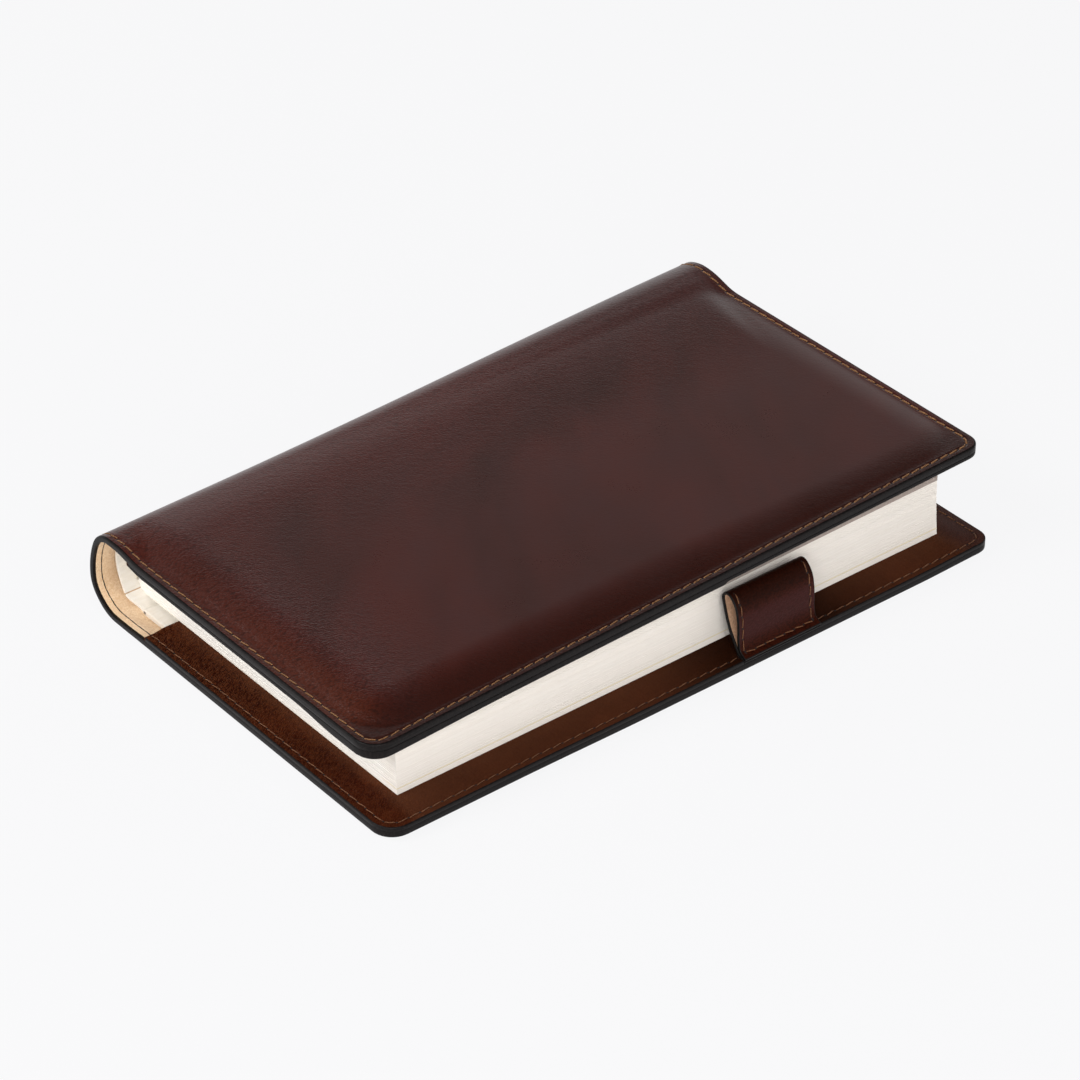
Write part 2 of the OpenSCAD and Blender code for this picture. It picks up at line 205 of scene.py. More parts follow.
pocketLook = {
    "dark": rgb(50, 16, 6), "mid": rgb(66, 26, 11), "inner": rgb(88, 52, 34), "crack": rgb(28, 9, 3),
    "crestHighlight": rgb(116, 66, 38), "specular": 0.01, "rough": 0.45, "cells": 1.35, "depth": 0.00018, "lean": 60,
    "rim": (95, 106), "smoothFrom": (-10, 56), "tailInner": (101, 107), "foreInner": (58, 71),
    # the head colour is a painted sheen
    "head": rgb(86, 64, 60), "headSheenFrom": (99, 110), "headSheenTo": (58, 74),
    # painted shade beside the pen loop
    "loopShade": rgb(18, 5, 2), "loopAt": 29.65, "loopShadeReach": (15, 62), "loopFrom": (40, 60),
}


def pocketLeather():
    look = pocketLook
    finish, flat = newFinish("grained_leather", look["specular"])
    across, headward = flat.part(0), flat.part(1)
    along = abs(headward)
    worn = 1 - across.step(*look["smoothFrom"]) * 0.6
    coarse = 0.2 + 0.8 * along.step(*look["rim"]) * worn
    leaning = flat.turned(look["lean"])
    crinkle = leaning.scaled(0.42, 1.15).noise(1.15, 3.0, 0.6, 0.7)
    ridge = 1 - abs(crinkle * 2 - 1) * 2.6
    cracks = leaning.scaled(0.55, 1.2).cells(look["cells"], "DISTANCE_TO_EDGE")
    stripes = flat.scaled(0.25, 1.6).noise(1.0, 3.0, 0.6)
    cloud = flat.noise(0.07, 3.0)
    fine = flat.noise(2.2, 2.0)
    outer = along.step(*look["tailInner"]).over(across.step(*look["foreInner"]) * 0.4)
    colour = cloud.step(0.35, 0.68).mix(look["dark"], look["mid"])
    # lighter near the pages, where the leather is smoother, with the sheen of that smooth band painted in
    colour = ((1 - outer) * 0.85).mix(colour, look["inner"])
    colour = ((1 - cracks.step(0.0, 0.16)) * coarse * 0.5).mix(colour, look["crack"])
    # painted highlight: lighter streaks on the crinkle crests stand for their glints
    colour = (ridge.step(0.5, 0.98) * coarse * 0.36).mix(colour, look["crestHighlight"])
    colour = (stripes.step(0.5, 0.8) * 0.3).mix(colour, look["dark"])
    # painted sheen: a lighter, purplish patch at the head end, past the pages
    head = headward.step(*look["headSheenFrom"]) * (1 - across.step(*look["headSheenTo"]) * 0.6)
    colour = (head * 0.8).mix(colour, look["head"])
    loopShade = 1 - abs(headward - look["loopAt"]).step(*look["loopShadeReach"])  # painted shade: darker beside the pen loop
    colour = (loopShade ** 2.0 * across.step(*look["loopFrom"]) * 0.75).mix(colour, look["loopShade"])
    height = coarse * (cracks.step(0.0, 0.3) + ridge.step(0.1, 0.95) * 0.4) + stripes * 0.2 + fine * 0.12
    return dressed(finish, flat, colour, look["rough"] + (fine - 0.5) * 0.2, height, look["depth"])


edgeLook = {"black": rgb(14, 11, 11), "dust": rgb(29, 24, 23), "specular": 0.12, "depth": 0.00008}


def edgePaint():
    finish, flat = newFinish("black_edge_paint", edgeLook["specular"])
    lines = flat.scaled(0.05, 0.05, 2.4).noise(1.0, 3.0)
    dust = flat.noise(1.4, 3.0)
    colour = dust.step(0.35, 0.8).mix(edgeLook["black"], edgeLook["dust"])
    return dressed(finish, flat, colour, 0.4 + (dust - 0.5) * 0.3, lines + dust * 0.4, edgeLook["depth"])


suedeLook = {"Sheen Weight": 0.2, "Sheen Roughness": 0.6, "Roughness": 0.95}


def suede(name, low, high, speck):
    finish, flat = newFinish(name, 0.1, suedeLook)
    nap = flat.noise(1.5, 4.0, 0.72)
    cloud = flat.noise(0.09, 3.0)
    fibre = flat.scaled(0.7, 2.0).noise(2.4, 2.0)
    specks = flat.cells(1.1).step(0.04, 0.22)
    colour = nap.step(0.3, 0.75).mix(low, high)
    colour = (cloud.step(0.45, 0.75) * 0.4).mix(colour, low)
    colour = ((1 - specks) * 0.45).mix(colour, speck)
    return dressed(finish, flat, colour, None, nap + fibre * 0.6, 0.00012)


def threadFinish(name, dark, light):
    finish, flat = newFinish(name, 0.2, {"Sheen Weight": 0.1})
    strands = flat.scaled(1.0, 1.0, 0.6).noise(3.2, 2.0, 0.6)
    wear = flat.noise(0.35, 2.0)
    colour = strands.step(0.3, 0.72).mix(dark, light)
    colour = (wear.step(0.45, 0.8) * 0.4).mix(colour, dark)
    return dressed(finish, flat, colour, 0.6 + (strands - 0.5) * 0.25, strands, 0.00006)


# painted shade: dark discs stand for the shade inside the needle holes
def needleHole():
    finish, flat = newFinish("needle_hole")
    shade = flat.noise(1.8, 2.0)
    return dressed(finish, flat, shade.mix(rgb(14, 7, 5), rgb(34, 17, 11)), 0.7 + shade * 0.2)


pageLook = {
    "ivory": rgb(247, 243, 236), "warm": rgb(244, 238, 229), "line": rgb(228, 219, 208),
    "fore": rgb(243, 235, 226), "foreFrom": (52, 58),
    "warmLine": rgb(233, 216, 172), "warmLineLow": (7.5, 7.68), "warmLineHigh": (7.8, 8.0),
    "shade": rgb(164, 150, 142), "shadeFrom": (11.5, 13.0), "shadeAt": (22.98, 23.12), "shadeLean": 0.0043,
}


def paperFinish(name, ivory, warm, line):
    look = pageLook
    finish, flat = newFinish(name, 0.15)
    leaves = flat.scaled(0.003, 0.003, 3.4).noise(1.0, 2.0, 0.7)
    bundles = flat.scaled(0.005, 0.005, 0.9).noise(1.0, 2.0)
    pulp = flat.noise(0.9, 4.0)
    across, along, level = [flat.part(k) for k in range(3)]
    fore = across.step(*look["foreFrom"])
    # a warm yellow line on the fore-edge, where the first two sections meet
    warmLine = level.step(*look["warmLineLow"]) * (1 - level.step(*look["warmLineHigh"])) * fore
    colour = bundles.step(0.35, 0.7).mix(ivory, warm)
    colour = (fore * 0.8).mix(colour, look["fore"])
    colour = (leaves.step(0.5, 0.75) * 0.4).mix(colour, line)
    colour = (warmLine * 0.7).mix(colour, look["warmLine"])
    top = level - along * look["shadeLean"]  # the shaded strip under the front cover's head half
    shade = top.step(*look["shadeAt"]) * along.step(*look["shadeFrom"])
    colour = (shade * fore).mix(colour, look["shade"])
    colour = (pulp.step(0.4, 0.8) * 0.12).mix(colour, warm)
    return dressed(finish, flat, colour, 0.85 + (pulp - 0.5) * 0.15, leaves * 0.6 + pulp * 0.1, 0.00004)


cardLook = {
    "low": rgb(234, 228, 217), "high": rgb(241, 237, 229), "cloud": rgb(230, 219, 199),
    # the fold colour is a painted shade in the crease
    "fold": rgb(176, 138, 96), "foldWidth": (0.2, 0.6), "specular": 0.25, "depth": 0.00006,
}


def cardFinish(name, crease):  # crease: where a strip is folded, along its own length, darkened there with painted shade
    look = cardLook
    finish, flat = newFinish(name, look["specular"])
    fibre = flat.scaled(1.0, 0.3).noise(0.8, 4.0)
    cloud = flat.noise(0.05, 3.0)
    fold = 1 - abs(flat.part(0) - crease).step(*look["foldWidth"])
    colour = fibre.step(0.3, 0.75).mix(look["low"], look["high"])
    colour = (cloud.step(0.45, 0.8) * 0.4).mix(colour, look["cloud"])
    # painted shade: a tan line darkens the crease
    colour = (fold * 0.85).mix(colour, look["fold"])
    return dressed(finish, flat, colour, 0.8 + (fibre - 0.5) * 0.2, fibre, look["depth"])


def liningFinish():
    finish, flat = newFinish("open_weave_cloth", 0.5, {"Sheen Weight": 0.1, "Roughness": 0.9})
    bands = {"Vector": flat, "Scale": 0.55, "Distortion": 0.6}
    across, along = [flat.node("TexWave", {"bands_direction": way}, bands) for way in "XY"]
    weave = across * along
    return dressed(finish, flat, weave.mix(rgb(206, 196, 176), rgb(238, 231, 216)), None, weave, 0.0001)


noCrease = 999  # past the end of any card
finishes = {
    "leather": outerLeather(), "strap": strapLeather(), "pocket": pocketLeather(), "edge": edgePaint(),
    "suede": suede("suede", rgb(224, 188, 147), rgb(248, 222, 189), rgb(180, 138, 98)),
    "strapSuede": suede("strap_suede", rgb(180, 142, 112), rgb(218, 178, 145), rgb(120, 92, 72)),
    "thread": threadFinish("waxed_thread", rgb(98, 64, 40), rgb(162, 118, 76)),
    "dullThread": threadFinish("worn_thread", rgb(78, 44, 26), rgb(138, 92, 58)),
    "under": threadFinish("under_thread", rgb(50, 37, 30), rgb(80, 62, 49)),
    "card": cardFinish("cream_card", noCrease), "caseCard": cardFinish("case_card", 9.11),
    "hole": needleHole(), "lining": liningFinish(),
    "pages": paperFinish("page_paper", pageLook["ivory"], pageLook["warm"], pageLook["line"]),
    "endpaper": paperFinish("endpaper", rgb(246, 241, 231), rgb(241, 234, 220), rgb(222, 212, 194)),
}
print("finishes made:", len(finishes))


# The closed notebook's shape: the outer leather's path round the spine, and the wedge of the pages.
# A pair that ease reads is a start and a width.

cover = {
    "half": 114.2, "foreBack": 72.75, "foreFront": 65.95, "corner": (7.2, 5.2), "thick": 2.3,
    "backRim": 1.6, "frontRim": 32.6, "crown": 1.6, "rim": 3.2, "rise": 4.8, "padCorner": 12.0,
    "low": (-60.25, 14.1, 12.5), "wall": (-34.954, 14.1, 37.796), "roll": (-61.19, 24.70, 9.5),
    "wallTurn": 22.0, "ramp": (-57.19, 13.0), "lead": 5.6, "splitAt": 156.7,
    "thin": 0.15, "thinFrom": (119, 8), "thinTo": (180, 7),
}
dome = {
    "height": 2.25, "headward": -1.35, "width": 15.0, "headWidth": 11.0, "headReach": 90, "corner": 18.0,
    "soft": 2.5, "spineFrom": 6.8, "spineWidth": 23.0, "spineShare": 0.32,
}
droop = {"depth": 0.5, "inset": 2, "width": 13.0, "from": (-70, 50), "to": (84, 28)}
wedge = {
    "lift": 3.3, "still": 5.7, "full": 28.5, "turning": 20.75, "gutter": (-65, 32), "pinch": 1.2,
    "rollUp": 1.35, "rollOut": 2.2, "rollFrom": -70, "rollAt": -62, "rollReach": (15, 40),
    "rollEnds": (4, 12), "rollHeight": (15, 14), "rollSide": (61, 8),
}

pathParts = np.cumsum([
    cover["foreBack"] - cover["low"][0],
    cover["low"][2] * math.pi / 2,
    cover["wall"][2] * math.radians(cover["wallTurn"]),
    cover["roll"][2] * math.radians(90 - cover["wallTurn"]),
    cover["foreFront"] - cover["roll"][0],
])
pathLength = float(pathParts[-1])


def smooth(t):
    t = np.clip(t, 0.0, 1.0)
    return t * t * (3 - 2 * t)


def ease(value, start, width):  # 0 up to the start, 1 after the width
    return smooth((value - start) / width)


def share(value, low, high):
    return np.clip((value - low) / (high - low), 0, 1)


def wedged(points):  # the closed pages are thicker at the head than at the tail
    x, y, z = np.moveaxis(points, -1, 0)
    headward = ease(y, wedge["rollFrom"], cover["half"] - wedge["rollFrom"])
    least, more = wedge["rollReach"]
    reach = least + more * ease(cover["half"] - np.abs(y), *wedge["rollEnds"])
    roll = headward * (1 - ease(x, wedge["rollAt"], reach)) * ease(z, *wedge["rollHeight"])
    lift = wedge["lift"] * y / cover["half"] * share(z, wedge["still"], wedge["full"])
    lifted = points.copy()
    lifted[..., 2] += lift + wedge["rollUp"] * roll
    lifted[..., 0] -= wedge["rollOut"] * roll * ease(-x, *wedge["rollSide"])
    return lifted


def fanned(points):  # the leaves that turn take the pages' whole wedge, so both halves lie level when open
    x, y, z = np.moveaxis(points, -1, 0)
    nearSpine = 1 - ease(x, *wedge["gutter"])
    lift = wedge["lift"] * y / cover["half"] * (1 - nearSpine * (y > 0))
    lift = lift - wedge["pinch"] * nearSpine  # kept low beside the spine
    lifted = points.copy()
    lifted[..., 2] += share(z, wedge["turning"], wedge["full"]) * lift
    return lifted


def insideEdge(fore, y, corner):  # how far a point is inside the sewn edges
    a = np.maximum(corner - fore, 0)
    b = np.maximum(corner - (cover["half"] - np.abs(y)), 0)
    return corner - np.hypot(a, b)


def padding(fore, y):  # 0 on the rim, 1 over the board
    return ease(insideEdge(fore, y, cover["padCorner"]), cover["rim"], cover["rise"])


def doming(u, y):  # the front cover's padded top, over its rim
    inside = insideEdge(pathLength - u, y, dome["corner"]) - cover["rim"]
    width = dome["width"] + (dome["headWidth"] - dome["width"]) * smooth(y / dome["headReach"])
    near = np.clip(inside / width, 0, 1)
    past = np.clip((u - pathParts[3] + dome["spineFrom"]) / dome["spineWidth"], 0, 1)
    spine = 1 - (1 - dome["spineShare"]) * (1 - past) ** 2
    height = dome["height"] + dome["headward"] * y / cover["half"]
    return height * (1 - (1 - near) ** 2) * smooth(inside / dome["soft"]) * spine


def softMax(a, b, soft=0.5):
    part = np.clip(0.5 + 0.5 * (a - b) / soft, 0, 1)
    return b + (a - b) * part + soft * part * (1 - part)


def drooping(fore, y):  # the back cover's fore-edge hangs a little between the loop and the head
    along = ease(y, *droop["from"]) * (1 - ease(y, *droop["to"]))
    return droop["depth"] * along * (1 - ease(fore, droop["inset"], droop["width"]))


def rollBump(x):
    return cover["crown"] * (1 - ease(x, *cover["ramp"]))


def onPath(u):  # x, z and the outward normal of the leather's outer face, u from the back fore-edge
    p = pathParts
    low, wall, roll = arcs = cover["low"], cover["wall"], cover["roll"]
    turn = math.radians(cover["wallTurn"])
    parts = [u < end for end in p[:4]]
    angles = [
        np.full_like(u, 1.5 * math.pi),
        1.5 * math.pi - (u - p[0]) / low[2],
        math.pi - (u - p[1]) / wall[2],
        math.pi - turn - (u - p[2]) / roll[2],
    ]
    angle = np.select(parts, angles, 0.5 * math.pi)
    nx, nz = np.cos(angle), np.sin(angle)
    x = np.select(parts, [cover["foreBack"] - u] + [c[0] + c[2] * nx for c in arcs], roll[0] + u - p[3])
    level = np.full_like(u, cover["backRim"])
    z = np.select(parts, [level] + [c[1] + c[2] * nz for c in arcs], cover["frontRim"])
    return x, z, nx, nz


def swelling(u, x, y):  # how far the boards push the leather out
    back = cover["crown"] * padding(u, y) * ease(x, cover["low"][0], cover["lead"]) + drooping(u, y)
    top = doming(u, y)
    front = softMax(rollBump(x), top)
    roll = softMax(cover["crown"], top) - cover["crown"]
    parts = [u < pathParts[0], u < pathParts[3] - dome["spineFrom"], u < pathParts[3]]
    return np.select(parts, [back, np.zeros_like(back), roll], front)


def onLeather(u, y, h):  # a point h over the leather's outer face
    x, z, nx, nz = onPath(u)
    spine = ease(u, *cover["thinFrom"]) * (1 - ease(u, *cover["thinTo"]))  # a single ply, pared thinner
    out = swelling(u, x, y) + np.where(h < 0, h * (1 - cover["thin"] * spine), h)
    return wedged(np.stack([x + nx * out, y, z + nz * out], -1))


def onBackLeather(a, y, h):  # the same, with a rising to the back fore-edge
    return onLeather(-a, y, h)


# Meshes

sharpAngle = 50
cornerFade = 14  # how far from the corners the sheets' rows are drawn in


def placed(name, data):
    made = bpy.data.objects.new(name, data)
    scene.collection.objects.link(made)
    return made


def addPiece(name, points, faces, flat, finishNames, slots=None):
    mesh = bpy.data.meshes.new(name)
    mesh.from_pydata([tuple(p) for p in (points * mm)], [], faces)
    stored = mesh.attributes.new("flat", "FLOAT_VECTOR", "POINT")
    stored.data.foreach_set("vector", flat.astype(np.float32).ravel())
    for finishName in finishNames:
        mesh.materials.append(finishes[finishName])
    if slots is not None:
        mesh.polygons.foreach_set("material_index", np.asarray(slots, np.int32))
    mesh.polygons.foreach_set("use_smooth", np.ones(len(mesh.polygons), bool))
    solid = bmesh.new()
    solid.from_mesh(mesh)
    bmesh.ops.recalc_face_normals(solid, faces=solid.faces)
    solid.to_mesh(mesh)
    solid.free()
    mesh.set_sharp_from_angle(angle=math.radians(sharpAngle))
    return placed(name, mesh)


def spread(low, high, step):
    return np.linspace(low, high, max(2, int(round((high - low) / step)) + 1))


def denser(low, high, lines, step, near, fine):  # even steps, finer close to some lines
    values = [spread(low, high, step)]
    for line in lines:
        values.append(spread(max(low, line - near), min(high, line + near), fine))
    every = np.unique(np.round(np.concatenate(values), 3))
    kept = [every[0]]
    for value in every[1:]:
        if value - kept[-1] > 0.6 * fine:
            kept.append(value)
    kept[-1] = every[-1]
    return np.array(kept)


def evenLines(kind, low, high, steps):  # finer close to both ends
    return denser(low + kind["round"], high - kind["round"], [low, high], *steps)


def unit(v):
    return v / np.maximum(np.linalg.norm(v, axis=-1, keepdims=True), 1e-9)


def rowsOf(*parts):  # one point to a row
    return np.stack(np.broadcast_arrays(*parts), -1).reshape(-1, 3)


def gridFaces(numbers):
    a, b, c, d = numbers[:-1, :-1], numbers[1:, :-1], numbers[1:, 1:], numbers[:-1, 1:]
    return np.stack([a, b, c, d], -1).reshape(-1, 4).tolist()


def thickSheet(name, place, rows, cols, shape, finishNames, groove=None, notch=None):
    # rows run to the fore-edge end, cols from tail to head; outer face, painted edge and inner face
    end, half = shape["end"], shape["half"]
    thick, e, e2 = shape["thick"], shape["round"], shape.get("under", shape["round"])
    corner = np.where(cols < 0, *shape.get("corner", (0.0, 0.0)))
    bent = np.maximum(corner - e, 0.0)
    past = np.clip(rows[:, None] - (end - corner), 0, bent)
    shrink = bent - np.sqrt(np.maximum(bent * bent - past * past, 0))
    fade = smooth(1 - (half - e - np.abs(cols)) / cornerFade)
    a = np.repeat(rows[:, None], len(cols), 1)
    y = cols - np.sign(cols) * shrink * fade
    if notch is not None:
        a = notch(a, y)
    n, m = a.shape
    tail = [(i, 0) for i in range(n)]
    fore = [(n - 1, j) for j in range(1, m)]
    head = [(i, m - 1) for i in range(n - 2, -1, -1)]
    start = [(0, j) for j in range(m - 2, 0, -1)] if not shape.get("cut") else []
    chain = tuple(np.array(tail + fore + head + start).T)  # the points along the edge, in order
    ca, cy = a[chain], y[chain]
    count = len(ca)
    ahead = np.stack([np.roll(ca, -1) - ca, np.roll(cy, -1) - cy], -1)
    behind = np.roll(ahead, 1, 0)
    if not start:
        behind[0], ahead[-1] = ahead[0], behind[-1]
    side = unit(unit(ahead) + unit(behind))
    miter = np.maximum(np.sum(side * unit(ahead), -1, keepdims=True), 0.5)
    normal = np.stack([side[:, 1], -side[:, 0]], -1) / miter
    if np.sum(normal[: n // 2, 1]) > 0:
        normal = -normal
    na, ny = normal.T
    turns = np.radians(np.linspace(0, 90, 5))
    loops = [(e * math.sin(t), -e * (1 - math.cos(t))) for t in turns[1:]]
    loops += [(e - e2 + e2 * math.cos(t), -(thick - e2) - e2 * math.sin(t)) for t in turns[:-1:2]]
    innerA, innerY = a.copy(), y.copy()
    innerA[chain] = ca + na * (e - e2)
    innerY[chain] = cy + ny * (e - e2)
    domain = [rowsOf(a, y, groove(a, y) if groove else 0.0)]
    domain += [rowsOf(ca + na * out, cy + ny * out, depth) for out, depth in loops]
    domain = np.concatenate(domain + [rowsOf(innerA, innerY, -thick)])
    outer = np.arange(n * m).reshape(n, m)
    inner = outer + n * m + len(loops) * count
    rings = [outer[chain]]
    rings += [n * m + k * count + np.arange(count) for k in range(len(loops))]
    rings = np.array(rings + [inner[chain]])
    border = np.full((n - 1, m - 1), 2)  # the paint runs a little over the inner side
    border[:, :2] = border[:, -2:] = border[-2:] = 1
    if start:
        rings = np.concatenate([rings, rings[:, :1]], 1)
        border[:2] = 1
    top, edge = gridFaces(outer), gridFaces(rings)
    faces = top + edge + gridFaces(inner)
    slots = [0] * len(top) + [1] * len(edge) + border.ravel().tolist()
    if not start:  # a flat end where the sheet is cut
        cap = gridFaces(np.array([outer[0], inner[0]])[:, 1:-1])
        cap.append(rings[:, 0].tolist() + [inner[0, 1], outer[0, 1]])
        cap.append(rings[::-1, -1].tolist() + [outer[0, -2], inner[0, -2]])
        faces += cap
        slots += [1] * len(cap)
    slots = np.array(slots)
    if "ends" in shape:  # faces near an end that take another finish
        below, above, old, new = shape["ends"]
        reach = np.array([[domain[face, 0].min(), domain[face, 0].max()] for face in faces])
        near = (reach[:, 1] < below) | (reach[:, 0] > above)
        slots[near & (slots == old)] = new
    return addPiece(name, place(*domain.T), faces, domain, finishNames, slots)


# Seams

seams = {
    "inset": 2.4, "corner": (7.2, 6.5), "pitch": 3.85, "fill": 0.88, "vary": 0.02, "slant": 7.0, "sway": 2.0,
    "radius": 0.21, "narrow": 0.35, "headward": 0.3, "headReach": 100, "lift": -0.08, "dive": 0.3,
    "ply": 0.13, "twist": 7.0, "flatten": 0.85,
    "groove": 0.2, "grooveWidth": 0.5, "hole": 0.3125, "holeSpan": (-0.165, -0.5),
}


def edgeSeam(start, end):  # along the tail, round the fore-edge and back along the head
    inset, half, arc = seams["inset"], cover["half"], np.radians(np.linspace(0, 90, 9))
    sides = []
    for corner in seams["corner"]:
        bend = corner - inset
        straight = [(start, inset - half), (end - corner, inset - half)]
        turn = [(end - corner + bend * math.sin(t), corner - half - bend * math.cos(t)) for t in arc[1:]]
        sides.append(np.array(straight + turn))
    return np.concatenate([sides[0], (sides[1] * [1, -1])[::-1]])


def lengthsAlong(path):
    return np.append(0, np.cumsum(np.linalg.norm(np.diff(path, axis=0), axis=1)))


def stepsAlong(path, pitch):  # a whole number of steps, their middles and their true pitch
    total = lengthsAlong(path)[-1]
    count = int(round(total / pitch))
    pitch = total / count
    ends = path[[0, -1]] + unit(path[[0, -1]] - path[[1, -2]])  # 1 mm on, for stitches that pass the ends
    longer = np.concatenate([ends[:1], path, ends[1:]])
    lengths = lengthsAlong(longer) - 1
    at = lambda s: np.stack([np.interp(s, lengths, column) for column in longer.T], -1)
    return at, (np.arange(count) + 0.5) * pitch, pitch


def stitchMesh(paths, place, seed, kind):
    # each stitch is a slanted two-ply thread that dives into the leather at both ends
    draw = np.random.default_rng(seed)
    along = np.sin(np.linspace(-1, 1, 11) * math.pi / 2)
    around = np.linspace(0, 2 * math.pi, 10, endpoint=False)
    tilt = np.linspace(0, 2 * math.pi, 8, endpoint=False)
    domains, faces, slots, count = [], [], [], 0
    for path in paths:
        at, centres, pitch = stepsAlong(path, kind["pitch"])
        total = len(centres)
        length = kind["fill"] * pitch * (1 + draw.normal(0, kind["vary"], total))
        slant = np.radians(kind["slant"] + draw.normal(0, kind["sway"], total))
        s = centres[:, None] + along * (length * np.cos(slant) / 2)[:, None]
        ahead = unit(at(s + 0.05) - at(s - 0.05))
        side = np.stack([-ahead[..., 1], ahead[..., 0]], -1)
        middle = at(s) + side * (along * (length * np.sin(slant) / 2)[:, None])[..., None]
        high = kind["lift"] - kind["dive"] * np.abs(along) ** 8
        thick = kind["radius"] * (1 - kind["narrow"] * np.abs(along) ** 6)
        thick = thick * (1 + kind["headward"] * smooth(middle[..., 1] / kind["headReach"]))
        ring = thick[..., None] * (1 + kind["ply"] * np.cos(around * 2 - along[:, None] * kind["twist"]))
        offset = ring * np.cos(around)
        a = middle[..., 0:1] + side[..., 0:1] * offset
        y = middle[..., 1:2] + side[..., 1:2] * offset
        domains.append(rowsOf(a, y, high[:, None] + ring * np.sin(around) * kind["flatten"]))
        for one in count + np.arange(a.size).reshape(a.shape):
            made = gridFaces(np.concatenate([one, one[:, :1]], 1)) + [one[0].tolist(), one[-1].tolist()]
            faces += made
            slots += [0] * len(made)
        count += a.size
        if kind["hole"]:
            spot = at(np.append(centres - pitch / 2, centres[-1] + pitch / 2))
            a = spot[:, None, 0] + kind["hole"] * np.cos(tilt)
            y = spot[:, None, 1] + kind["hole"] * np.sin(tilt)
            domains += [rowsOf(a, y, h) for h in kind["holeSpan"]]
            for top in count + np.arange(a.size).reshape(a.shape):
                low = top + a.size
                made = [top.tolist(), low.tolist()]
                made += gridFaces(np.array([np.append(top, top[0]), np.append(low, low[0])]))
                faces += made
                slots += [1] * len(made)
            count += 2 * a.size
    flat = np.concatenate(domains)
    return place(*flat.T), faces, flat, slots


def addSeam(name, paths, place, finishName, seed, **changes):
    points, faces, flat, slots = stitchMesh(paths, place, seed, {**seams, **changes})
    return addPiece(name, points, faces, flat, [finishName, "hole"], slots)


def grooveBeside(distance):
    return -seams["groove"] * np.exp(-((distance / seams["grooveWidth"]) ** 4))


def seamDistance(fore, y):  # from the middle of the seam that follows the edges
    corner = np.where(y < 0, *seams["corner"])
    side = cover["half"] - np.abs(y)
    inCorner = np.maximum(fore, side) < corner
    inside = np.where(inCorner, insideEdge(fore, y, corner), np.minimum(fore, side))
    return np.abs(inside - seams["inset"])


# Outer leather, in two pieces that meet in the middle of the spine

leatherCut = {"round": 0.6, "under": 0.1, "cut": True, "rows": (1.1, 1.6, 0.2), "cols": (1.6, 1.6, 0.2)}
splitAt = cover["splitAt"]
halfIn = cover["half"] - leatherCut["round"]
seamLine = cover["half"] - seams["inset"]
crossCols = denser(-halfIn, halfIn, [-halfIn, -seamLine, seamLine, halfIn], *leatherCut["cols"])


def leatherRows(start, end):
    stop = end - leatherCut["round"]
    return denser(start, stop, [start, end - seams["inset"], stop], *leatherCut["rows"])


def leatherGroove(u, y):
    return grooveBeside(seamDistance(np.minimum(u, pathLength - u), y))


frontLeather = thickSheet(
    "front_leather_wrap", onLeather, leatherRows(splitAt, pathLength), crossCols,
    {**cover, **leatherCut, "end": pathLength}, ["leather", "edge", "suede"], leatherGroove,
)
backLeather = thickSheet(
    "back_leather_wrap", onBackLeather, leatherRows(-splitAt, 0.0), crossCols,
    {**cover, **leatherCut, "end": 0.0}, ["leather", "edge", "suede"], lambda a, y: leatherGroove(-a, y),
)
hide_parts("front_leather")
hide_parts("back_leather", "spine_leather")
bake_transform(frontLeather)
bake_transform(backLeather)
print("outer leather:", len(frontLeather.data.polygons) + len(backLeather.data.polygons), "faces")


# Pockets

pockets = {
    "thick": 1.3, "round": 0.35, "under": 0.07,
    "backTop": 5.2, "frontUnder": 29.0, "bulge": 0.5, "padCorner": 9.0, "padRise": 4.0,
    "backOpen": -45.0, "frontOpen": -51.8, "lip": 0.6, "crease": 2.0, "creaseWidth": 0.3,
    "creaseDepth": 0.28, "notch": (14.7, 44.6), "notchDepth": 3.4, "notchSoft": 0.12, "notchReach": 14,
    "ply": 0.7, "plyStop": (12.0, 2.5), "plyTail": (-110, 45), "plyFore": (30, 20), "plyMost": 1.2,
    "plyLine": 13.2, "thread": 0.15, "threadFrom": 0.3,
    "steps": (2.2, 1.2, 0.15), "frontSteps": (2.2, 1.6, 0.15),
}


def pocketPad(fore, y):
    return ease(insideEdge(fore, y, pockets["padCorner"]), cover["rim"], pockets["padRise"])


def onBackPocket(x, y, h):  # h over the pocket's upper face
    fore = cover["foreBack"] - x
    z = pockets["backTop"] + pockets["bulge"] * pocketPad(fore, y) - drooping(fore, y) + h
    return np.stack([x, y, z], -1)


def onFrontPocket(x, y, h):  # h below the pocket's lower face
    pad = pocketPad(cover["foreFront"] - x, y)
    ply = pockets["ply"] * (2 - ease(y, *pockets["plyStop"]) - ease(y, *pockets["plyTail"]))
    ply = ply * ease(x, *pockets["plyFore"]) * np.clip(1 + h / pockets["thick"], 0, pockets["plyMost"])
    z = pockets["frontUnder"] - pockets["bulge"] * pad + (rollBump(x) - ply) * (1 - pad) - h
    return wedged(np.stack([x, y, z], -1))


def loopNotch(x, y):  # the pocket leather stops short of the pen loop's foot
    low, high = pockets["notch"]
    within = smooth((y - low) / pockets["notchSoft"] + 0.5) * smooth((high - y) / pockets["notchSoft"] + 0.5)
    near = share(x, cover["foreBack"] - pockets["notchReach"], cover["foreBack"])
    return x - pockets["notchDepth"] * within * near


